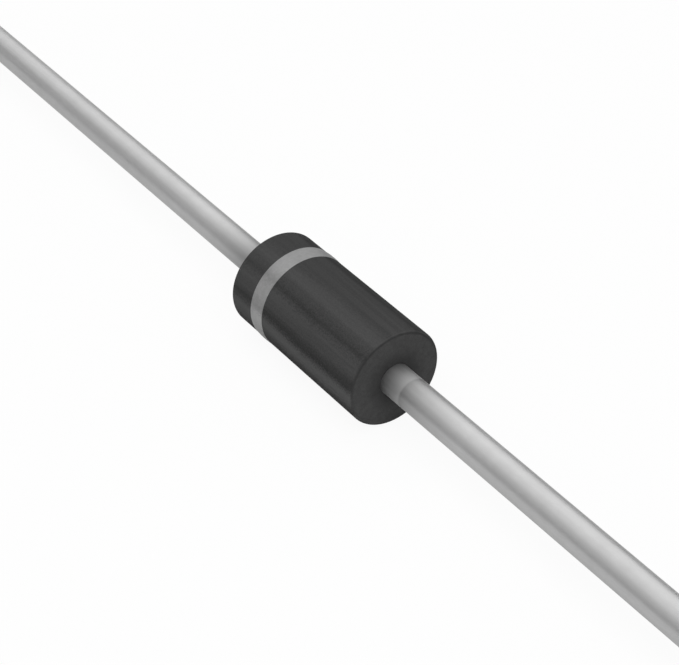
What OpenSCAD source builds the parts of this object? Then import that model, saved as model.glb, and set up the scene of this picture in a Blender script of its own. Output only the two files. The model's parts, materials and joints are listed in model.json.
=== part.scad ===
// Axial-lead zener diode in a moulded plastic case.
// The leads lie along X, with the banded cathode end towards -X.
// The origin is the middle of the case. Lengths are in millimetres.

/* [Case] */
// Outside diameter of the moulded case
case_d = 2.7; // [2:0.05:3.6]
// Length of the moulded case
case_l = 5.21; // [4:0.01:9]
// Radius that softens the edge round each end face
case_edge_r = 0.1; // [0.02:0.01:0.3]

/* [Cathode band] */
// Distance from the cathode end face to the band
band_offset = 0.9; // [0.3:0.05:1.2]
// Width of the band along the case
band_w = 0.5; // [0.3:0.05:1]
// Thickness of the printed ink
band_t = 0.015; // [0.012:0.001:0.04]

/* [Leads] */
// Diameter of each tinned lead
lead_d = 0.864; // [0.6:0.002:1.1]
// Length of each lead outside the case
lead_l = 25.4; // [5:0.1:30]
// Chamfer at the cut end of each lead
lead_chamfer = 0.05; // [0.01:0.01:0.15]
// How far the nail head stands out beyond the lead, all round
head_overhang = 0.38; // [0.2:0.01:0.5]
// Thickness of the nail head
head_t = 0.3; // [0.15:0.05:0.6]
// How much the shank swells in radius between the end face and its head
shank_swell = 0.08; // [0.02:0.01:0.15]

/* [Chip and joint] */
// Side of the square silicon chip
chip_side = 0.8; // [0.5:0.05:1]
// Thickness of the chip
chip_t = 0.25; // [0.15:0.01:0.4]
// Thickness of each solder disc
solder_t = 0.06; // [0.03:0.01:0.1]
// Bare rim that the solder leaves along each side of the chip
solder_inset = 0.05; // [0.01:0.01:0.15]

/* [Hidden] */
case_r = case_d / 2;
case_half = case_l / 2;
lead_r = lead_d / 2;
lead_tip = case_half + lead_l;
head_r = lead_r + head_overhang;
shank_r = lead_r + shank_swell;
chip_half = chip_t / 2;
// Half of the gap between the two heads, which the chip and its solder fill
joint_half = chip_half + solder_t;
head_back = joint_half + head_t;
solder_r = chip_side / 2 - solder_inset;
// Reach of the chip's corners from the axis
chip_reach = chip_side / sqrt(2);
$fn = 96;

// Lays a shape that was drawn round Z along X, with +Z towards the anode
module along_x() {
    rotate([0, 90, 0]) children();
}

// Turns an anode piece into its cathode twin
module cathode_side() {
    mirror([1, 0, 0]) children();
}

// Half section of the case, with its two end edges rounded
module case_section() {
    flat_r = case_r - case_edge_r;
    straight_half = case_half - case_edge_r;
    translate([0, -case_half]) square([flat_r, case_l]);
    translate([0, -straight_half]) square([case_r, 2 * straight_half]);
    for (end = [-1, 1])
        translate([flat_r, end * straight_half]) circle(r = case_edge_r);
}

// Lead on the anode side: head on the chip, swelling shank, straight wire and chamfered tip
module lead_body() {
    along_x() rotate_extrude() polygon([
        [0, joint_half],
        [head_r, joint_half],
        [head_r, head_back],
        [shank_r, head_back],
        [lead_r, case_half],
        [lead_r, lead_tip - lead_chamfer],
        [lead_r - lead_chamfer, lead_tip],
        [0, lead_tip]
    ]);
}

module chip_body() {
    cube([chip_t, chip_side, chip_side], center = true);
}

// Solder disc on the anode face of the chip
module solder_body() {
    along_x() translate([0, 0, chip_half]) cylinder(h = solder_t, r = solder_r);
}

// Bead that fills the gap between the heads, bulging out past the chip's corners
module coating_bead() {
    along_x() rotate_extrude() {
        translate([0, -joint_half]) square([chip_reach, 2 * joint_half]);
        translate([chip_reach, 0]) circle(r = joint_half);
    }
}

module case() {
    color([0.26, 0.26, 0.26]) difference() {
        along_x() rotate_extrude() case_section();
        lead_body();
        cathode_side() lead_body();
        coating_bead();
    }
}

module cathode_band() {
    inner_edge = case_half - band_offset - band_w;
    color([0.55, 0.55, 0.55]) cathode_side() along_x()
        rotate_extrude() translate([case_r, inner_edge]) square([band_t, band_w]);
}

module cathode_lead() {
    color([0.71, 0.71, 0.71]) cathode_side() lead_body();
}

module anode_lead() {
    color([0.71, 0.71, 0.71]) lead_body();
}

module zener_chip() {
    color([0.3, 0.32, 0.36]) chip_body();
}

module cathode_solder() {
    color([0.6, 0.61, 0.63]) cathode_side() solder_body();
}

module anode_solder() {
    color([0.6, 0.61, 0.63]) solder_body();
}

module junction_coating() {
    color([0.85, 0.84, 0.78]) difference() {
        coating_bead();
        chip_body();
        solder_body();
        cathode_side() solder_body();
    }
}

case();
cathode_band();
cathode_lead();
anode_lead();
zener_chip();
cathode_solder();
anode_solder();
junction_coating();
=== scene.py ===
"""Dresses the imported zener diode: a moulded case, its printed cathode band and two tinned leads."""

import json
import logging
import math
from abc import ABC, abstractmethod
from dataclasses import asdict, dataclass
from enum import Enum

import bmesh
import bpy
from mathutils import Matrix, Vector


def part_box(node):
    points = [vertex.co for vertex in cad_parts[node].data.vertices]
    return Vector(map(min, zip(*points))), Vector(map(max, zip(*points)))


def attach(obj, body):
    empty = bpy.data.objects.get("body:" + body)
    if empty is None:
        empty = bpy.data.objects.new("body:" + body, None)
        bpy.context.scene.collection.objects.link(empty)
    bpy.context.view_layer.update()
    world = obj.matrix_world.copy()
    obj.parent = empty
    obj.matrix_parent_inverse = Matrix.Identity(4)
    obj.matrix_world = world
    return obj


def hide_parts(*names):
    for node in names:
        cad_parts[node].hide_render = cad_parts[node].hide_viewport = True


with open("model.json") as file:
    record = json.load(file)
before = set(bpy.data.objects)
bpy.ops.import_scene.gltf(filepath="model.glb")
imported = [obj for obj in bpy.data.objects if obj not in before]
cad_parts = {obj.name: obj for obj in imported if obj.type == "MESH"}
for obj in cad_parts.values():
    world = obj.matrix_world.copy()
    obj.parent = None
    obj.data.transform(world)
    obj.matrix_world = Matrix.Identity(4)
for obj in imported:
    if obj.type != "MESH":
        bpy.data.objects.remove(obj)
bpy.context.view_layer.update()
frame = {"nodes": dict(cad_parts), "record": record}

MM = 0.001
ROOT = "root"
log = logging.getLogger("diode")

Span = tuple[float, float]
Outline = list[tuple[float, float]]
Colour = tuple[float, float, float, float]
Socket = bpy.types.NodeSocket
Feed = float | Colour | Socket

# Values between which most of a line noise lies
LINE_SPAN: Span = (0.3, 0.7)


class Axis(Enum):
    """The frame's axes, each with its letter."""

    ALONG = "X"
    BACK = "Y"
    UP = "Z"


class LeadSide(Enum):
    """The two ends of the diode, each with the way its lead points along X."""

    CATHODE = -1
    ANODE = 1

    @property
    def lead_node(self) -> str:
        """Name of the CAD node that holds this lead."""
        return f"{self.name.lower()}_lead"

    @property
    def solder_node(self) -> str:
        """Name of the CAD node that holds the solder disc on this side of the chip."""
        return f"{self.name.lower()}_solder"


def grey(value: float, warmth: float = 0.0) -> Colour:
    """Makes a near neutral colour of a linear brightness, its red lifted and blue lowered by the warmth."""
    return (value * (1.0 + warmth), value, value * (1.0 - warmth), 1.0)


def scaled(span: Span, unit: float) -> Span:
    """Gives a span in metres that was written in multiples of a unit."""
    return (span[0] * unit, span[1] * unit)


def heading(azimuth: float, elevation: float) -> Vector:
    """Points from the diode: degrees round from the front towards the anode end, and above level."""
    a, e = math.radians(azimuth), math.radians(elevation)
    return Vector((math.sin(a) * math.cos(e), -math.cos(a) * math.cos(e), math.sin(e)))


def add_object(bm: bmesh.types.BMesh, name: str, finish: bpy.types.Material) -> bpy.types.Object:
    """Makes an object of a mesh, at the origin.

    Args:
        bm: The finished mesh, which is used up.
        name: The object's name.
        finish: Its material.

    Returns:
        The new object, in the scene.
    """
    mesh = bpy.data.meshes.new(name)
    bm.to_mesh(mesh)
    bm.free()
    mesh.materials.append(finish)
    made = bpy.data.objects.new(name, mesh)
    bpy.context.scene.collection.objects.link(made)
    return made


class NodeSheet:
    """Places nodes in one node tree and wires them up."""

    def __init__(self, tree: bpy.types.NodeTree) -> None:
        """Starts on a tree, and empties it."""
        self.tree = tree
        self.tree.nodes.clear()

    @classmethod
    def of(cls, owner: bpy.types.Material | bpy.types.World) -> "NodeSheet":
        """Starts on the tree of a material or of the world."""
        owner.use_nodes = True
        return cls(owner.node_tree)

    def add(self, kind: str, inputs: dict[str, Feed] | None = None, **settings: object) -> bpy.types.Node:
        """Places a node.

        Args:
            kind: Blender's name for the node type.
            inputs: Socket names, each with a constant or with an output socket to wire in.
            **settings: Properties of the node itself.

        Returns:
            The new node.
        """
        node = self.tree.nodes.new(kind)
        for key, value in settings.items():
            setattr(node, key, value)
        for key, value in (inputs or {}).items():
            self.feed(node.inputs[key], value)
        return node

    def feed(self, socket: Socket, value: Feed) -> None:
        """Sets a socket to a constant, or wires an output socket to it.

        Args:
            socket: The input to fill.
            value: A constant or an output socket.
        """
        if isinstance(value, bpy.types.NodeSocket):
            self.tree.links.new(value, socket)
        else:
            socket.default_value = value

    def maths(self, operation: str, first: Feed, second: Feed = 0.0, clamp: bool = False) -> Socket:
        """Places a Math node.

        Args:
            operation: Blender's name for the sum.
            first: Its first value or output socket.
            second: Its second value or output socket.
            clamp: Keep the result between 0 and 1.

        Returns:
            The node's output socket.
        """
        node = self.add("ShaderNodeMath", operation=operation, use_clamp=clamp)
        self.feed(node.inputs[0], first)
        self.feed(node.inputs[1], second)
        return node.outputs[0]

    def ramp(self, value: Feed, start: float, end: float, low: float = 0.0, high: float = 1.0,
             soft: bool = False) -> Socket:
        """Runs a result from low to high while a value goes from start to end.

        Args:
            value: The value's output socket.
            start: Value at which the result leaves low.
            end: Value at which the result reaches high.
            low: Result before start.
            high: Result after end.
            soft: Ease in and out.

        Returns:
            The result's output socket.
        """
        node = self.add("ShaderNodeMapRange", {
            "Value": value, "From Min": start, "From Max": end, "To Min": low, "To Max": high,
        }, interpolation_type="SMOOTHSTEP" if soft else "LINEAR")
        return node.outputs["Result"]

    def squeeze(self, place: Socket, factor: Feed) -> Socket:
        """Squeezes a place along X, so that a noise read there is drawn out.

        Args:
            place: The place's output socket.
            factor: Factor on X.

        Returns:
            The squeezed place.
        """
        factors = self.add("ShaderNodeCombineXYZ", {"X": factor, "Y": 1.0, "Z": 1.0})
        node = self.add("ShaderNodeVectorMath", operation="MULTIPLY")
        self.feed(node.inputs[0], place)
        self.feed(node.inputs[1], factors.outputs["Vector"])
        return node.outputs["Vector"]

    def reach(self, place: Socket) -> Socket:
        """Measures how far a place lies from the lead axis.

        Args:
            place: The place's output socket.

        Returns:
            The distance's output socket.
        """
        node = self.add("ShaderNodeVectorMath", operation="LENGTH")
        self.feed(node.inputs[0], self.squeeze(place, 0.0))
        return node.outputs["Value"]

    def mix(self, first: Feed, second: Feed, share: float) -> Socket:
        """Blends two masks.

        Args:
            first: The first mask.
            second: The second mask.
            share: Weight of the second mask.

        Returns:
            The blend's output socket.
        """
        kept = self.maths("MULTIPLY", first, 1.0 - share)
        added = self.maths("MULTIPLY", second, share)
        return self.maths("ADD", kept, added)

    def tint(self, mask: Feed, dark: Colour, light: Colour) -> Socket:
        """Runs a colour from dark to light over a mask.

        Args:
            mask: The mask's output socket.
            dark: Colour where the mask is 0.
            light: Colour where the mask is 1.

        Returns:
            The colour's output socket.
        """
        node = self.add("ShaderNodeMix", data_type="RGBA", blend_type="MIX")
        factor, first, second = (s for s in node.inputs if s.enabled)
        self.feed(factor, mask)
        self.feed(first, dark)
        self.feed(second, light)
        return next(s for s in node.outputs if s.enabled)


class EffectGroups:
    """Shader node groups that several finishes share, each built once."""

    # Mean of a noise, and what each octave keeps of the one before
    noise_mean: float = 0.5
    octave_share: float = 0.6
    # Noises that bend a mark and fray its edges, in cells to the metre
    bend_scale: float = 800.0
    bend_squeeze: float = 0.3
    fray_scale: float = 24000.0
    # Brightness of a middling mark
    mark_level: float = 0.7
    # Where the marks' painted sheen and shade fade towards the top of the case, in case radii, and what is
    # left there
    top_span: Span = (0.75, 1.0)
    top_share: float = 0.22
    # Where they grow along the case, in case radii, and what there is of them at the cathode end
    cathode_span: Span = (-1.8, -0.2)
    cathode_share: float = 0.72
    # Reach from the axis, in case radii, over which they set in
    rim_span: Span = (0.95, 0.98)

    def __init__(self) -> None:
        """Builds the groups."""
        self.grain = self._grain()
        self.lines = self._lines()
        self.marks = self._marks()

    @staticmethod
    def _start(name: str, values: dict[str, float]) -> tuple[NodeSheet, dict[str, Socket]]:
        """Starts a group with a Vector input, its own values and one Mask output.

        Args:
            name: The group's name.
            values: Names of its other inputs, each with a default.

        Returns:
            The sheet to fill, and the group's inputs by name.
        """
        tree = bpy.data.node_groups.new(name, "ShaderNodeTree")
        tree.interface.new_socket("Vector", in_out="INPUT", socket_type="NodeSocketVector")
        for key, default in values.items():
            socket = tree.interface.new_socket(key, in_out="INPUT", socket_type="NodeSocketFloat")
            socket.default_value = default
        tree.interface.new_socket("Mask", in_out="OUTPUT", socket_type="NodeSocketFloat")
        sheet = NodeSheet(tree)
        given = sheet.add("NodeGroupInput").outputs
        return sheet, {socket.name: socket for socket in given if socket.name}

    @classmethod
    def _noise(cls, sheet: NodeSheet, place: Socket, scale: Feed, detail: float = 2.0) -> Socket:
        """Places a noise.

        Args:
            sheet: The sheet to fill.
            place: Where it is read.
            scale: Its cells in a metre.
            detail: Octaves above the first.

        Returns:
            The noise's output socket, less its mean.
        """
        node = sheet.add("ShaderNodeTexNoise", {
            "Vector": place, "Scale": scale, "Detail": detail, "Roughness": cls.octave_share,
        })
        return sheet.maths("SUBTRACT", node.outputs["Fac"], cls.noise_mean)

    def _grain(self) -> bpy.types.NodeTree:
        """Builds an even, fine grain.

        Returns:
            The group, with inputs Vector, Scale and Contrast.
        """
        sheet, given = self._start("fine_grain", {"Scale": 20000.0, "Contrast": 2.0})
        noise = self._noise(sheet, given["Vector"], given["Scale"])
        steep = sheet.maths("MULTIPLY", noise, given["Contrast"])
        sheet.add("NodeGroupOutput", {"Mask": sheet.maths("ADD", steep, self.noise_mean, clamp=True)})
        return sheet.tree

    def _lines(self) -> bpy.types.NodeTree:
        """Builds fine lines along X, as drawing and sawing leave them.

        Returns:
            The group, with inputs Vector, Scale and Stretch.
        """
        sheet, given = self._start("fine_lines", {"Scale": 8000.0, "Stretch": 30.0})
        squeeze = sheet.maths("DIVIDE", 1.0, given["Stretch"])
        place = sheet.squeeze(given["Vector"], squeeze)
        noise = self._noise(sheet, place, given["Scale"], detail=3.0)
        sheet.add("NodeGroupOutput", {"Mask": sheet.maths("ADD", noise, self.noise_mean)})
        return sheet.tree

    def _marks(self) -> bpy.types.NodeTree:
        """Builds soft lengthwise mould marks, which also carry the case's painted sheen and shade.

        Going round the case, each mark brightens, stays bright and drops off short, with a grainy edge.
        Some are brighter than others. They are fainter along the top and towards the cathode end, and
        stop at the end faces.

        Returns:
            The group, with inputs Vector, Radius, Count, Turn, Rise, Fall, Waver, Fray, Seed and Variety.
        """
        sheet, given = self._start("mould_marks", {
            "Radius": 1.0, "Count": 9.0, "Turn": 0.0, "Rise": 0.4, "Fall": 0.2, "Waver": 0.2, "Fray": 0.1,
            "Seed": 0.5, "Variety": 0.5,
        })
        split = sheet.add("ShaderNodeSeparateXYZ", {"Vector": given["Vector"]}).outputs
        towards = sheet.maths("MULTIPLY", split["Y"], -1.0)
        bearing = sheet.maths("DIVIDE", sheet.maths("ARCTAN2", split["Z"], towards), math.tau)
        counted = sheet.maths("MULTIPLY", sheet.maths("SUBTRACT", bearing, given["Turn"]), given["Count"])
        slow = self._noise(sheet, sheet.squeeze(given["Vector"], self.bend_squeeze), self.bend_scale)
        fine = self._noise(sheet, given["Vector"], self.fray_scale)
        wavered = sheet.maths("ADD", counted, sheet.maths("MULTIPLY", slow, given["Waver"]))
        frayed = sheet.maths("ADD", wavered, sheet.maths("MULTIPLY", fine, given["Fray"]))
        step = sheet.maths("FRACT", frayed)
        rising = sheet.maths("DIVIDE", step, given["Rise"])
        falling = sheet.maths("DIVIDE", sheet.maths("SUBTRACT", 1.0, step), given["Fall"])
        shape = sheet.maths("MINIMUM", rising, falling, clamp=True)
        which = sheet.maths("ADD", sheet.maths("FLOOR", frayed), given["Seed"])
        luck = sheet.add("ShaderNodeTexWhiteNoise", {"W": which}, noise_dimensions="1D").outputs["Value"]
        spread = sheet.maths("MULTIPLY", sheet.maths("SUBTRACT", luck, self.noise_mean), given["Variety"])
        level = sheet.maths("ADD", spread, self.mark_level)
        wave = sheet.maths("SUBTRACT", sheet.maths("MULTIPLY", shape, level), self.noise_mean)
        height = sheet.maths("DIVIDE", split["Z"], given["Radius"])
        along = sheet.maths("DIVIDE", split["X"], given["Radius"])
        out = sheet.maths("DIVIDE", sheet.reach(given["Vector"]), given["Radius"])
        for strength in (
            sheet.ramp(height, *self.top_span, 1.0, self.top_share),
            sheet.ramp(along, *self.cathode_span, self.cathode_share, 1.0),
            sheet.ramp(out, *self.rim_span),
        ):
            wave = sheet.maths("MULTIPLY", wave, strength)
        sheet.add("NodeGroupOutput", {"Mask": sheet.maths("ADD", wave, self.noise_mean)})
        return sheet.tree


class FinishSheet(NodeSheet):
    """A material's node sheet, with its shader, Object coordinates and the shared groups."""

    def __init__(self, name: str, effects: EffectGroups) -> None:
        """Starts an empty material.

        Args:
            name: The material's name.
            effects: The shared node groups.
        """
        self.material = bpy.data.materials.new(name)
        self.material.use_nodes = True
        super().__init__(self.material.node_tree)
        self.effects = effects
        self.shader = self.add("ShaderNodeBsdfPrincipled")
        self.add("ShaderNodeOutputMaterial", {"Surface": self.shader.outputs["BSDF"]})
        self.place = self.add("ShaderNodeTexCoord").outputs["Object"]

    def read(self, axis: Axis) -> Socket:
        """Reads the place along one axis."""
        return self.add("ShaderNodeSeparateXYZ", {"Vector": self.place}).outputs[axis.value]

    def effect(self, group: bpy.types.NodeTree, **values: float) -> Socket:
        """Places a shared effect.

        Args:
            group: The effect's node group.
            **values: Its inputs, apart from the place.

        Returns:
            The mask's output socket.
        """
        node = self.add("ShaderNodeGroup", node_tree=group)
        self.feed(node.inputs["Vector"], self.place)
        for key, value in values.items():
            self.feed(node.inputs[key], value)
        return node.outputs["Mask"]

    def grain(self, scale: float, contrast: float) -> Socket:
        """Places the fine grain."""
        return self.effect(self.effects.grain, Scale=scale, Contrast=contrast)

    def lines(self, scale: float, stretch: float) -> Socket:
        """Places the fine lines."""
        return self.effect(self.effects.lines, Scale=scale, Stretch=stretch)

    def stripe(self, place: Socket, line: float, width: float, strength: float) -> Socket:
        """Masks a soft line by the place across it: full strength on the line, none half a width off."""
        off_line = self.maths("ABSOLUTE", self.maths("SUBTRACT", place, line))
        return self.ramp(off_line, 0.0, width / 2, strength, 0.0, soft=True)

    def relief(self, height: Socket, depth: float) -> None:
        """Raises the surface by a mask, to a depth in metres where the mask is 1."""
        bump = self.add("ShaderNodeBump", {"Height": height, "Distance": depth})
        self.feed(self.shader.inputs["Normal"], bump.outputs["Normal"])

    def shade(self, **values: Feed) -> None:
        """Fills the shader's sockets, which are named with underscores for spaces."""
        for key, value in values.items():
            self.feed(self.shader.inputs[key.replace("_", " ")], value)


class Finish(ABC):
    """A procedural finish, which names a material and fills its node sheet."""

    name: str

    def make(self, effects: EffectGroups) -> bpy.types.Material:
        """Builds the material.

        Args:
            effects: The shared node groups.

        Returns:
            The finished material.
        """
        sheet = FinishSheet(self.name, effects)
        self.fill(sheet)
        return sheet.material

    @abstractmethod
    def fill(self, sheet: FinishSheet) -> None:
        """Fills the material's node sheet, each finish in its own way."""


@dataclass(frozen=True)
class MouldMarksAndSheen:
    """How the case's lengthwise marks and their painted sheen and shade are laid out, which the ink over
    them follows.

    The turn is a share of a full one, and the rise, fall, waver and fray are shares of a mark's width.
    """

    radius: float
    count: float = 10.0
    turn: float = 12.0 / 360.0
    rise: float = 0.5
    fall: float = 0.28
    waver: float = 0.36
    fray: float = 0.5
    seed: float = 576.5
    variety: float = 0.69

    def mask(self, sheet: FinishSheet) -> Socket:
        """Places the marks in a material, with each value in the input of its name."""
        values = {name.capitalize(): value for name, value in asdict(self).items()}
        return sheet.effect(sheet.effects.marks, **values)


@dataclass(frozen=True)
class MouldedEpoxy(Finish):
    """Black filled epoxy with a dull matt mould finish, and a satin sheen painted along its marks."""

    # Lengthwise marks, which also carry the case's painted sheen and shade
    marks: MouldMarksAndSheen
    lead_radius: float
    case_half: float
    name: str = "moulded_epoxy"
    dark: Colour = grey(0.0255)
    light: Colour = grey(0.099)
    # Colour of the painted shade round each lead and along the end face's rim
    shade_tone: Colour = grey(0.02)
    # Painted shade on the end faces, round each lead
    root_shade: float = 0.46
    root_width: float = 0.55 * MM
    # Painted shade: a dark line where the rounded edge meets the end face. It grows with height, over a
    # span in case radii
    rim_shade: float = 0.57
    rim_inset: float = 0.06 * MM
    rim_width: float = 0.13 * MM
    rim_span: Span = (-0.4, 0.6)
    rim_least: float = 0.25
    # Painted highlight: a light line on the rounded edge. It grows towards the back, over a span in case
    # radii
    edge_light: float = 0.34
    edge_inset: float = 0.028 * MM
    edge_width: float = 0.06 * MM
    edge_span: Span = (-0.75, -0.25)
    edge_least: float = 0.0
    line_scale: float = 6500.0
    line_stretch: float = 40.0
    line_share: float = 0.2
    smooth: float = 0.7
    rough: float = 0.85
    shine: float = 0.006
    grain_scale: float = 26000.0
    grain_contrast: float = 3.0
    grain_share: float = 0.15
    grain_depth: float = 0.0010 * MM

    def fill(self, sheet: FinishSheet) -> None:
        """Lays the marks with their painted sheen and shade, the lines and the grain, and paints shade and
        a highlight at the ends.

        Args:
            sheet: The material's node sheet.
        """
        grain = sheet.grain(self.grain_scale, self.grain_contrast)
        lines = sheet.ramp(sheet.lines(self.line_scale, self.line_stretch), *LINE_SPAN)
        marked = sheet.mix(self.marks.mask(sheet), lines, self.line_share)
        tone = sheet.maths("ADD", sheet.mix(marked, grain, self.grain_share), self.edge(sheet))
        skin = sheet.tint(tone, self.dark, self.light)
        sheet.shade(
            Base_Color=sheet.tint(self.shadow(sheet), skin, self.shade_tone),
            Roughness=sheet.ramp(grain, 0.0, 1.0, self.smooth, self.rough),
            Specular_IOR_Level=self.shine,
        )
        sheet.relief(grain, self.grain_depth)

    def edge(self, sheet: FinishSheet) -> Socket:
        """Paints a highlight along the rounded edge of each end, stronger towards the back.

        Args:
            sheet: The material's node sheet.

        Returns:
            The lift's output socket.
        """
        from_middle = sheet.maths("ABSOLUTE", sheet.read(Axis.ALONG))
        line = self.case_half - self.edge_inset
        lift = sheet.stripe(from_middle, line, self.edge_width, self.edge_light)
        return sheet.maths("MULTIPLY", lift, self.weight(sheet, Axis.BACK, self.edge_span, self.edge_least))

    def weight(self, sheet: FinishSheet, axis: Axis, span: Span, least: float) -> Socket:
        """Weighs a line by its place on an axis, from the least up to 1 over a span in case radii."""
        return sheet.ramp(sheet.read(axis), *scaled(span, self.marks.radius), least, 1.0)

    def shadow(self, sheet: FinishSheet) -> Socket:
        """Masks the painted shade round each lead, and the painted dark line round the end face.

        Args:
            sheet: The material's node sheet.

        Returns:
            The mask's output socket.
        """
        reach = sheet.reach(sheet.place)
        root = sheet.ramp(
            reach, self.lead_radius, self.lead_radius + self.root_width, self.root_shade, 0.0, soft=True,
        )
        rim = sheet.stripe(reach, self.marks.radius - self.rim_inset, self.rim_width, self.rim_shade)
        weight = self.weight(sheet, Axis.UP, self.rim_span, self.rim_least)
        return sheet.maths("MAXIMUM", root, sheet.maths("MULTIPLY", rim, weight))


@dataclass(frozen=True)
class PrintedInk(Finish):
    """Pale grey printing ink, which carries the case's marks and their painted sheen and shade."""

    # Lengthwise marks, which also carry the case's painted sheen and shade
    marks: MouldMarksAndSheen
    name: str = "printed_ink"
    dark: Colour = grey(0.176)
    light: Colour = grey(0.34)
    # Painted highlight: a lift of the tone along the top of the band. It grows with height, over a span in
    # case radii
    thick_lift: float = 0.25
    thick_span: Span = (0.72, 1.0)
    smooth: float = 0.5
    rough: float = 0.62
    shine: float = 0.12
    mottle_scale: float = 9000.0
    mottle_contrast: float = 2.3
    mottle_share: float = 0.25
    grain_scale: float = 26000.0
    grain_contrast: float = 2.2
    grain_depth: float = 0.0008 * MM

    def fill(self, sheet: FinishSheet) -> None:
        """Lays the ink over the marks and their painted sheen, with a mottle and a grain of its own, and a
        painted top highlight.

        Args:
            sheet: The material's node sheet.
        """
        mottle = sheet.grain(self.mottle_scale, self.mottle_contrast)
        grain = sheet.grain(self.grain_scale, self.grain_contrast)
        span = scaled(self.thick_span, self.marks.radius)
        top_highlight = sheet.ramp(sheet.read(Axis.UP), *span, 0.0, self.thick_lift, soft=True)
        tone = sheet.mix(self.marks.mask(sheet), mottle, self.mottle_share)
        sheet.shade(
            Base_Color=sheet.tint(sheet.maths("ADD", tone, top_highlight), self.dark, self.light),
            Roughness=sheet.ramp(grain, 0.0, 1.0, self.smooth, self.rough),
            Specular_IOR_Level=self.shine,
        )
        sheet.relief(grain, self.grain_depth)


@dataclass(frozen=True)
class SatinTin(Finish):
    """Copper wire under satin tin, with faint drawing lines, and painted shade along the wire and on a dull
    collar at the case.
    """

    case_half: float
    name: str = "satin_tin"
    dark: Colour = grey(0.426)
    light: Colour = grey(0.46)
    # Painted shade that fades out along the wire from the collar's end
    stain: Colour = grey(0.275)
    stain_length: float = 2.5 * MM
    stain_bend: float = 2.0
    # Dull collar next to the case, toned with painted shade that is darkest at the end face and lighter
    # towards its outer end
    collar_inner: Colour = grey(0.168)
    collar_outer: Colour = grey(0.387)
    collar_length: float = 0.715 * MM
    collar_blur: float = 0.07 * MM
    collar_bend: float = 0.5
    collar_dull: float = 0.15
    smooth: float = 0.39
    rough: float = 0.47
    # Tint of the reflection at a grazing angle
    edge_tone: Colour = grey(0.7)
    line_scale: float = 16000.0
    line_stretch: float = 80.0
    line_depth: float = 0.0002 * MM
    bloom_scale: float = 3000.0
    bloom_contrast: float = 1.6

    def fill(self, sheet: FinishSheet) -> None:
        """Draws the lines, and tones the wire along its length.

        Args:
            sheet: The material's node sheet.
        """
        lines = sheet.lines(self.line_scale, self.line_stretch)
        bloom = sheet.grain(self.bloom_scale, self.bloom_contrast)
        clean = sheet.tint(bloom, self.dark, self.light)
        past = sheet.maths("SUBTRACT", sheet.maths("ABSOLUTE", sheet.read(Axis.ALONG)), self.case_half)
        blur = self.collar_blur / 2
        inside = sheet.ramp(past, self.collar_length - blur, self.collar_length + blur, 1.0, 0.0, soft=True)
        drawn = sheet.ramp(lines, *LINE_SPAN, self.smooth, self.rough)
        sheet.shade(
            Base_Color=sheet.tint(inside, self.outside(sheet, past, clean), self.collar(sheet, past)),
            Roughness=sheet.maths("ADD", drawn, sheet.maths("MULTIPLY", inside, self.collar_dull)),
            Metallic=1.0,
            Specular_Tint=self.edge_tone,
        )
        sheet.relief(lines, self.line_depth)

    def outside(self, sheet: FinishSheet, past: Socket, clean: Socket) -> Socket:
        """Paints shade on the clean wire outside the collar, less with the distance past the end face."""
        fade = sheet.ramp(past, self.collar_length, self.collar_length + self.stain_length, 1.0, 0.0)
        return sheet.tint(sheet.maths("POWER", fade, self.stain_bend), clean, self.stain)

    def collar(self, sheet: FinishSheet, past: Socket) -> Socket:
        """Paints shade on the collar next to the case, lighter with the distance past the end face."""
        reach = sheet.maths("POWER", sheet.ramp(past, 0.0, self.collar_length), self.collar_bend)
        return sheet.tint(reach, self.collar_inner, self.collar_outer)


@dataclass(frozen=True)
class SawnSilicon(Finish):
    """Grey silicon with saw marks on its sides."""

    name: str = "sawn_silicon"
    dark: Colour = (0.10, 0.11, 0.14, 1.0)
    light: Colour = (0.16, 0.17, 0.21, 1.0)
    smooth: float = 0.25
    rough: float = 0.5
    metal: float = 0.6
    saw_scale: float = 60000.0
    saw_stretch: float = 12.0
    saw_depth: float = 0.0008 * MM

    def fill(self, sheet: FinishSheet) -> None:
        """Draws the saw marks.

        Args:
            sheet: The material's node sheet.
        """
        cuts = sheet.lines(self.saw_scale, self.saw_stretch)
        sheet.shade(
            Base_Color=sheet.tint(cuts, self.dark, self.light),
            Roughness=sheet.ramp(cuts, *LINE_SPAN, self.smooth, self.rough),
            Metallic=self.metal,
        )
        sheet.relief(cuts, self.saw_depth)


@dataclass(frozen=True)
class GrainyFinish(Finish):
    """A finish whose tone, roughness and relief all follow one fine grain."""

    name: str
    dark: Colour
    light: Colour
    scale: float
    contrast: float
    smooth: float
    rough: float
    depth: float
    metal: float

    def fill(self, sheet: FinishSheet) -> None:
        """Lays the grain.

        Args:
            sheet: The material's node sheet.
        """
        grain = sheet.grain(self.scale, self.contrast)
        sheet.shade(
            Base_Color=sheet.tint(grain, self.dark, self.light),
            Roughness=sheet.ramp(grain, 0.0, 1.0, self.smooth, self.rough),
            Metallic=self.metal,
        )
        sheet.relief(grain, self.depth)


SOFT_SOLDER = GrainyFinish(
    "soft_solder", dark=grey(0.36, -0.01), light=grey(0.48, -0.01), scale=30000.0, contrast=2.5,
    smooth=0.35, rough=0.6, depth=0.001 * MM, metal=1.0,
)
CURED_SILICONE = GrainyFinish(
    "cured_silicone", dark=grey(0.66, 0.05), light=grey(0.74, 0.05), scale=12000.0, contrast=1.5,
    smooth=0.35, rough=0.5, depth=0.0006 * MM, metal=0.0,
)


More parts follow.
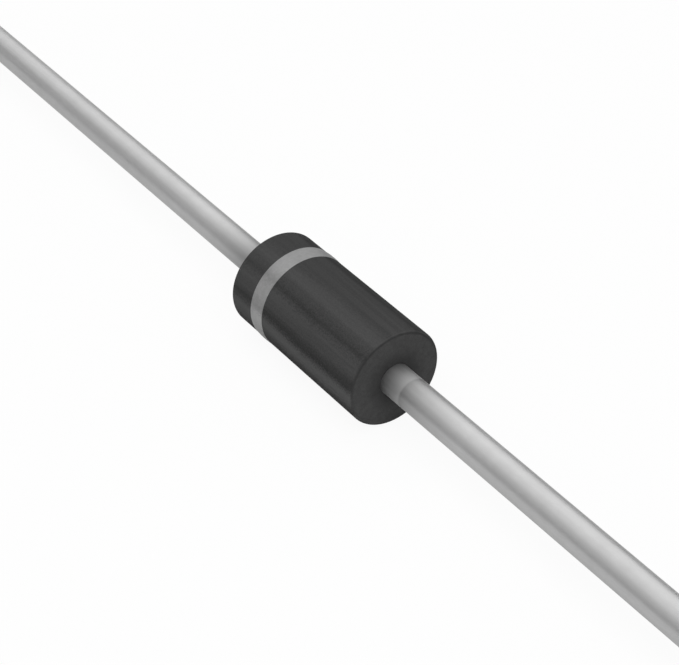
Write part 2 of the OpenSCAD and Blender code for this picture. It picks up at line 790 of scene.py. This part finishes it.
class Lathe:
    """Turns outlines round the lead axis, which is X, and makes pieces of them."""

    merge_gap: float = 1e-5 * MM
    match_gap: float = 1e-3 * MM
    crease: float = math.radians(40.0)

    @classmethod
    def turn(cls, outline: Outline, steps: int, closed: bool) -> bmesh.types.BMesh:
        """Spins an outline one full turn.

        Args:
            outline: Corners as (x, radius), in order.
            steps: Faces round the axis.
            closed: Join the last corner to the first. An open outline ends on the axis.

        Returns:
            A closed mesh whose faces point outwards.
        """
        bm = bmesh.new()
        corners = [bm.verts.new((x, 0.0, radius)) for x, radius in outline]
        after = corners[1:] + corners[:1] if closed else corners[1:]
        lines = [bm.edges.new(pair) for pair in zip(corners, after)]
        bmesh.ops.spin(
            bm, geom=corners + lines, cent=(0.0, 0.0, 0.0), axis=(1.0, 0.0, 0.0),
            angle=math.tau, steps=steps, use_merge=True,
        )
        bmesh.ops.remove_doubles(bm, verts=bm.verts, dist=cls.merge_gap)
        bmesh.ops.recalc_face_normals(bm, faces=bm.faces)
        return bm

    @classmethod
    def on_ring(cls, vert: bmesh.types.BMVert, x: float, radius: float) -> bool:
        """Tells whether a vertex lies on the ring that an outline corner became."""
        reach = math.hypot(vert.co.y, vert.co.z)
        return abs(vert.co.x - x) < cls.match_gap and abs(reach - radius) < cls.match_gap

    @classmethod
    def soften(cls, bm: bmesh.types.BMesh, corners: Outline, radius: float, segments: int) -> None:
        """Rounds the rings that outline corners became.

        Args:
            bm: The turned mesh.
            corners: The corners to round, as (x, radius).
            radius: Size of the rounding.
            segments: Faces across the rounding.
        """
        rims = [
            edge for edge in bm.edges
            if any(all(cls.on_ring(v, *corner) for v in edge.verts) for corner in corners)
        ]
        bmesh.ops.bevel(
            bm, geom=rims, offset=radius, offset_type="OFFSET", segments=segments,
            profile=0.5, affect="EDGES", material=-1,
        )

    @staticmethod
    def point(bm: bmesh.types.BMesh, side: LeadSide) -> None:
        """Points a piece that was turned on the anode side to its own side, faces outwards."""
        bmesh.ops.scale(bm, vec=(side.value, 1.0, 1.0), verts=bm.verts)
        bmesh.ops.recalc_face_normals(bm, faces=bm.faces)

    @classmethod
    def show(cls, bm: bmesh.types.BMesh, name: str, finish: bpy.types.Material, slot: str, node: str
             ) -> bpy.types.Object:
        """Makes a shown piece that stands for a CAD node.

        Args:
            bm: The finished mesh, which is used up.
            name: The piece's name.
            finish: Its material.
            slot: The record's material slot; not used.
            node: The CAD node that it replaces.

        Returns:
            The new object, riding on the diode.
        """
        piece = add_object(bm, name, finish)
        piece.data.shade_smooth()
        piece.data.set_sharp_from_angle(angle=cls.crease)
        even = piece.modifiers.new("even_normals", "WEIGHTED_NORMAL")
        even.keep_sharp = True
        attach(piece, ROOT)
        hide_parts(node)
        log.info("%s: %d faces, for %s", name, len(piece.data.polygons), node)
        return piece


@dataclass(frozen=True)
class JointForm:
    """Sizes of the chip's joint and of the lead heads that hold it, most of them from the frame."""

    lead_radius: float
    head_radius: float
    half_gap: float
    chip_half: float
    chip_side: float
    solder_radius: float
    head_thickness: float = 0.3 * MM
    shank_swell: float = 0.08 * MM

    @classmethod
    def from_frame(cls) -> "JointForm":
        """Reads the sizes.

        Returns:
            The joint's sizes.
        """
        pin = next(m for m in frame["record"]["mounts"] if m["name"] == LeadSide.ANODE.lead_node)
        head_low, head_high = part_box(LeadSide.ANODE.lead_node)
        chip_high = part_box("zener_chip")[1]
        return cls(
            lead_radius=pin["dims"]["r_mm"] * MM,
            head_radius=head_high.z,
            half_gap=head_low.x,
            chip_half=chip_high.x,
            chip_side=2.0 * chip_high.z,
            solder_radius=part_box(LeadSide.ANODE.solder_node)[1].z,
        )

    @property
    def chip_reach(self) -> float:
        """Reach of the chip's corners from the axis."""
        return self.chip_side / math.sqrt(2.0)

    @property
    def head_back(self) -> float:
        """Where the back of a head lies along X."""
        return self.half_gap + self.head_thickness

    @property
    def shank_radius(self) -> float:
        """Radius of the swollen shank behind a head."""
        return self.lead_radius + self.shank_swell

    def pocket(self, case_half: float) -> Outline:
        """Outlines the anode half of the hollow that the metal leaves in the case.

        Args:
            case_half: Half of the case's length.

        Returns:
            Corners from the end face to the gap between the heads.
        """
        return [
            (case_half, self.lead_radius),
            (self.head_back, self.shank_radius),
            (self.head_back, self.head_radius),
            (self.half_gap, self.head_radius),
        ]

    def bead(self, steps: int) -> Outline:
        """Outlines the bulge of the sealing bead between the heads.

        Args:
            steps: Stretches in the half round.

        Returns:
            Corners from the anode head to the cathode head.
        """
        turns = [math.pi * k / steps for k in range(steps + 1)]
        return [
            (self.half_gap * math.cos(t), self.chip_reach + self.half_gap * math.sin(t)) for t in turns
        ]


@dataclass(frozen=True)
class MouldedCase:
    """The case: a rounded cylinder moulded round the metal parts."""

    half: float
    radius: float
    joint: JointForm
    edge_radius: float = 0.1 * MM
    edge_segments: int = 10
    steps: int = 256
    bead_steps: int = 16

    @classmethod
    def from_frame(cls, joint: JointForm) -> "MouldedCase":
        """Reads the sizes of the case round a joint."""
        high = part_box("case")[1]
        return cls(half=high.x, radius=high.z, joint=joint)

    def model(self) -> bmesh.types.BMesh:
        """Turns the case with its hollow, and rounds its ends.

        Returns:
            The case's mesh.
        """
        pocket = self.joint.pocket(self.half)
        mirrored = [(-x, radius) for x, radius in reversed(pocket)]
        rims = [(-self.half, self.radius), (self.half, self.radius)]
        outline = rims + pocket + self.joint.bead(self.bead_steps) + mirrored
        bm = Lathe.turn(outline, self.steps, closed=True)
        Lathe.soften(bm, rims, self.edge_radius, self.edge_segments)
        return bm

    def dress(self, finish: bpy.types.Material) -> bpy.types.Object:
        """Shows the case in its finish."""
        return Lathe.show(self.model(), "moulded_case", finish, "case_epoxy", "case")


@dataclass(frozen=True)
class CathodeBand:
    """The printed ring that marks the cathode end, a film that thins out at its edges."""

    low: float
    high: float
    inner: float
    outer: float
    crown_steps: int = 10
    steps: int = 256

    @classmethod
    def from_frame(cls, case: MouldedCase) -> "CathodeBand":
        """Reads the sizes of the band on a case."""
        low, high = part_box("cathode_band")
        return cls(low=low.x, high=high.x, inner=case.radius, outer=high.z)

    def model(self) -> bmesh.types.BMesh:
        """Turns the film's crowned section.

        Returns:
            The band's mesh.
        """
        film = self.outer - self.inner
        shares = [k / self.crown_steps for k in range(self.crown_steps + 1)]
        crown = [
            (self.low + (self.high - self.low) * s, self.inner + film * (1.0 - (2.0 * s - 1.0) ** 2))
            for s in shares
        ]
        return Lathe.turn(crown, self.steps, closed=True)

    def dress(self, finish: bpy.types.Material) -> bpy.types.Object:
        """Shows the band in its ink."""
        return Lathe.show(self.model(), "printed_band", finish, "band_ink", "cathode_band")


@dataclass(frozen=True)
class Lead:
    """One lead: a straight tinned wire whose nail head sits on the chip."""

    side: LeadSide
    tip: float
    case_half: float
    joint: JointForm
    tip_chamfer: float = 0.05 * MM
    edge_radius: float = 0.02 * MM
    edge_segments: int = 4
    steps: int = 160

    @classmethod
    def from_frame(cls, side: LeadSide, case: MouldedCase) -> "Lead":
        """Reads the sizes of the lead out of one side of a case."""
        low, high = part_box(side.lead_node)
        return cls(side=side, tip=max(-low.x, high.x), case_half=case.half, joint=case.joint)

    def model(self) -> bmesh.types.BMesh:
        """Turns the head, the shank, the wire and the cut tip.

        Returns:
            The lead's mesh.
        """
        form = self.joint
        wire = form.lead_radius
        head = [(form.half_gap, form.head_radius), (form.head_back, form.head_radius)]
        cut = [(self.tip - self.tip_chamfer, wire), (self.tip, wire - self.tip_chamfer)]
        shank = [(form.head_back, form.shank_radius), (self.case_half, wire)]
        outline = [(form.half_gap, 0.0), *head, *shank, *cut, (self.tip, 0.0)]
        bm = Lathe.turn(outline, self.steps, closed=False)
        Lathe.soften(bm, head + cut, self.edge_radius, self.edge_segments)
        Lathe.point(bm, self.side)
        return bm

    def dress(self, finish: bpy.types.Material) -> bpy.types.Object:
        """Shows the lead in its finish."""
        node = self.side.lead_node
        return Lathe.show(self.model(), f"tinned_{node}", finish, "tinned_copper", node)


@dataclass(frozen=True)
class ChipJoint:
    """The chip between its two solder discs, and the silicone bead that seals its sides."""

    form: JointForm
    disc_edge: float = 0.01 * MM
    disc_segments: int = 3
    steps: int = 128
    bead_steps: int = 16

    def model_disc(self, side: LeadSide) -> bmesh.types.BMesh:
        """Turns a solder disc with a rounded rim.

        Args:
            side: Which face of the chip it lies on.

        Returns:
            The disc's mesh.
        """
        inner, outer, reach = self.form.chip_half, self.form.half_gap, self.form.solder_radius
        rims = [(inner, reach), (outer, reach)]
        bm = Lathe.turn([(inner, 0.0), *rims, (outer, 0.0)], self.steps, closed=False)
        Lathe.soften(bm, rims, self.disc_edge, self.disc_segments)
        Lathe.point(bm, side)
        return bm

    def model_seal(self) -> bmesh.types.BMesh:
        """Turns the bead round the solder, and squares its middle to hold the chip.

        Returns:
            The seal's mesh.
        """
        form = self.form
        bore, middle = form.solder_radius, 0.5 * form.chip_side
        well = [(-form.half_gap, bore), (-form.chip_half, bore), (-form.chip_half, middle)]
        twin = [(-x, radius) for x, radius in reversed(well)]
        bm = Lathe.turn(form.bead(self.bead_steps) + well + twin, self.steps, closed=True)
        for vert in bm.verts:
            if any(Lathe.on_ring(vert, x, middle) for x in (-form.chip_half, form.chip_half)):
                spread = middle / max(abs(vert.co.y), abs(vert.co.z))
                bmesh.ops.scale(bm, vec=(1.0, spread, spread), verts=[vert])
        bmesh.ops.recalc_face_normals(bm, faces=bm.faces)
        return bm

    def dress(self, silicon: bpy.types.Material, solder: bpy.types.Material, silicone: bpy.types.Material
              ) -> None:
        """Shows the joint in its finishes; the chip is the frame's own.

        Args:
            silicon: The chip's finish.
            solder: The discs' finish.
            silicone: The seal's finish.
        """
        for place in frame["nodes"]["zener_chip"].material_slots:
            place.material = silicon
        log.info("zener_chip: kept from the frame")
        for side in LeadSide:
            node = side.solder_node
            Lathe.show(self.model_disc(side), f"{node}_disc", solder, "solder", node)
        Lathe.show(self.model_seal(), "silicone_seal", silicone, "silicone", "junction_coating")


@dataclass(frozen=True)
class SoftPanel:
    """A soft light panel that faces the diode, its length level."""

    name: str
    azimuth: float
    elevation: float
    glow: float
    fill_share: float
    width: float
    length: float = 1600.0 * MM
    reach: float = 300.0 * MM
    sheen_gap: float = 10.0 * MM
    power_per_glow: float = 4.0

    def place(self) -> None:
        """Hangs the panel: a share of it lights everything, and the rest, behind it, adds only sheen."""
        self.hang(f"{self.name}_fill", self.fill_share, self.reach)
        if self.fill_share < 1.0:
            sheen = self.hang(f"{self.name}_sheen", 1.0 - self.fill_share, self.reach + self.sheen_gap)
            sheen.visible_diffuse = False

    def hang(self, name: str, share: float, reach: float) -> bpy.types.Object:
        """Hangs one light.

        Args:
            name: The light's name.
            share: Its share of the panel's glow.
            reach: Its distance from the diode.

        Returns:
            The light.
        """
        lamp = bpy.data.lights.new(name, "AREA")
        lamp.shape = "RECTANGLE"
        lamp.size = self.length
        lamp.size_y = self.width
        lamp.energy = share * self.glow * self.power_per_glow * self.length * self.width
        light = bpy.data.objects.new(name, lamp)
        way = heading(self.azimuth, self.elevation)
        light.location = way * reach
        light.rotation_euler = way.to_track_quat("Z", "Y").to_euler()
        light.visible_camera = False
        bpy.context.scene.collection.objects.link(light)
        return light


@dataclass(frozen=True)
class DarkFlag:
    """A dark board along the leads, unseen by the camera, which keeps the bright horizon off the metal."""

    name: str
    azimuth: float
    height: float
    foot: float
    length: float = 1600.0 * MM
    reach: float = 300.0 * MM
    colour: Colour = grey(0.02)

    def place(self) -> bpy.types.Object:
        """Stands the board on the floor.

        Returns:
            The board.
        """
        middle = heading(self.azimuth, 0.0) * self.reach + Vector((0.0, 0.0, self.foot + self.height / 2))
        size = Matrix.Diagonal((self.length, self.height, 1.0, 1.0))
        upright = Matrix.Rotation(math.pi / 2, 4, "X")
        turn = Matrix.Rotation(math.radians(self.azimuth), 4, "Z")
        bm = bmesh.new()
        bmesh.ops.create_grid(
            bm, x_segments=1, y_segments=1, size=0.5,
            matrix=Matrix.Translation(middle) @ turn @ upright @ size,
        )
        material = bpy.data.materials.new(self.name)
        sheet = NodeSheet.of(material)
        matt = sheet.add("ShaderNodeBsdfDiffuse", {"Color": self.colour})
        sheet.add("ShaderNodeOutputMaterial", {"Surface": matt.outputs["BSDF"]})
        board = add_object(bm, self.name, material)
        board.visible_camera = False
        return board


@dataclass(frozen=True)
class Studio:
    """A pale floor with a low rim, soft panels, dark flags and a dim surround."""

    floor_level: float
    rim_height: float = 300.0 * MM
    floor_radius: float = 2000.0 * MM
    floor_sides: int = 96
    floor_colour: Colour = grey(0.92)
    # White share of the floor near the diode, which grows to the whole between the two distances
    floor_white: float = 0.93
    shadow_reach: float = 60.0 * MM
    shadow_end: float = 180.0 * MM
    surround: float = 0.05
    # Each flag's name, azimuth and height
    flags: tuple[tuple[str, float, float], ...] = (
        ("front_flag", 0.0, 57.0 * MM),
        ("back_flag", 180.0, 36.0 * MM),
    )

    def floor_finish(self) -> bpy.types.Material:
        """Makes a floor that looks white, and takes the diode's shadow near the diode.

        Returns:
            The floor's material.
        """
        material = bpy.data.materials.new("pale_floor")
        sheet = NodeSheet.of(material)
        path = sheet.add("ShaderNodeLightPath").outputs
        seen = sheet.maths("ADD", path["Is Camera Ray"], path["Is Glossy Ray"], clamp=True)
        shown = sheet.maths("ADD", seen, path["Is Transmission Ray"], clamp=True)
        away = sheet.add("ShaderNodeVectorMath", operation="LENGTH")
        sheet.feed(away.inputs[0], sheet.add("ShaderNodeTexCoord").outputs["Object"])
        white = sheet.ramp(
            away.outputs["Value"], self.shadow_reach, self.shadow_end, self.floor_white, 1.0, soft=True,
        )
        share = sheet.maths("MULTIPLY", shown, white)
        matt = sheet.add("ShaderNodeBsdfDiffuse", {"Color": self.floor_colour})
        bright = sheet.add("ShaderNodeEmission", {"Strength": 1.0})
        mixed = sheet.add("ShaderNodeMixShader", {"Fac": share})
        sheet.feed(mixed.inputs[1], matt.outputs["BSDF"])
        sheet.feed(mixed.inputs[2], bright.outputs["Emission"])
        sheet.add("ShaderNodeOutputMaterial", {"Surface": mixed.outputs["Shader"]})
        return material

    def lay_floor(self) -> bpy.types.Object:
        """Lays the floor under the diode, and raises its rim.

        Returns:
            The floor.
        """
        bm = bmesh.new()
        bmesh.ops.create_circle(
            bm, cap_ends=True, segments=self.floor_sides, radius=self.floor_radius,
            matrix=Matrix.Translation((0.0, 0.0, self.floor_level)),
        )
        rim = bmesh.ops.extrude_edge_only(bm, edges=bm.edges)["geom"]
        raised = [item for item in rim if isinstance(item, bmesh.types.BMVert)]
        bmesh.ops.translate(bm, vec=(0.0, 0.0, self.rim_height), verts=raised)
        floor = add_object(bm, "floor", self.floor_finish())
        return floor

    def light(self, panels: list[SoftPanel]) -> None:
        """Sets the dim surround, hangs the panels and stands the flags.

        Args:
            panels: The soft panels.
        """
        world = bpy.data.worlds.new("surround")
        sheet = NodeSheet.of(world)
        glow = sheet.add("ShaderNodeBackground", {"Color": grey(1.0), "Strength": self.surround})
        sheet.add("ShaderNodeOutputWorld", {"Surface": glow.outputs["Background"]})
        bpy.context.scene.world = world
        for panel in panels:
            panel.place()
        for name, azimuth, height in self.flags:
            DarkFlag(name, azimuth, height, self.floor_level).place()


@dataclass(frozen=True)
class PhotoCamera:
    """The viewpoint: above the anode end, looking down the leads."""

    azimuth: float = 54.53
    elevation: float = 37.25
    distance: float = 49.83 * MM
    aim_right: float = 0.168 * MM
    aim_down: float = 0.155 * MM
    lens: float = 105.06
    sensor: float = 36.0
    near: float = 1.0 * MM
    far: float = 10000.0 * MM

    def place(self) -> bpy.types.Object:
        """Sets up the scene's camera.

        Returns:
            The camera.
        """
        back = heading(self.azimuth, self.elevation)
        right = heading(self.azimuth + 90.0, 0.0)
        up = back.cross(right)
        view = bpy.data.cameras.new("photo_camera")
        view.lens = self.lens
        view.sensor_width = self.sensor
        view.clip_start = self.near
        view.clip_end = self.far
        camera = bpy.data.objects.new("photo_camera", view)
        camera.location = back * self.distance + right * self.aim_right - up * self.aim_down
        camera.rotation_euler = Matrix((right, up, back)).transposed().to_euler()
        bpy.context.scene.collection.objects.link(camera)
        bpy.context.scene.camera = camera
        return camera


PANELS = [
    SoftPanel("front_panel", 0.0, 30.0, glow=0.60, fill_share=0.37, width=248.0 * MM, length=1050.0 * MM),
    SoftPanel("top_panel", 0.0, 75.0, glow=0.96, fill_share=1.0, width=248.0 * MM),
    SoftPanel("back_panel", 180.0, 52.0, glow=1.205, fill_share=0.31, width=380.0 * MM),
    SoftPanel("key_panel", 54.0, 40.0, glow=0.70, fill_share=1.0, width=400.0 * MM, length=400.0 * MM),
]


def main() -> None:
    """Builds the diode, its studio and the camera."""
    logging.basicConfig(level=logging.INFO, format="%(name)s: %(message)s")
    bpy.context.scene.view_settings.view_transform = "Standard"
    PhotoCamera().place()
    joint = JointForm.from_frame()
    case = MouldedCase.from_frame(joint)
    band = CathodeBand.from_frame(case)
    effects = EffectGroups()
    marks = MouldMarksAndSheen(radius=case.radius)
    case.dress(MouldedEpoxy(marks, joint.lead_radius, case.half).make(effects))
    band.dress(PrintedInk(marks).make(effects))
    tin = SatinTin(case.half).make(effects)
    for side in LeadSide:
        Lead.from_frame(side, case).dress(tin)
    ChipJoint(joint).dress(
        SawnSilicon().make(effects), SOFT_SOLDER.make(effects), CURED_SILICONE.make(effects),
    )
    studio = Studio(floor_level=-band.outer)
    studio.lay_floor()
    studio.light(PANELS)


if __name__ == "__main__":
    main()
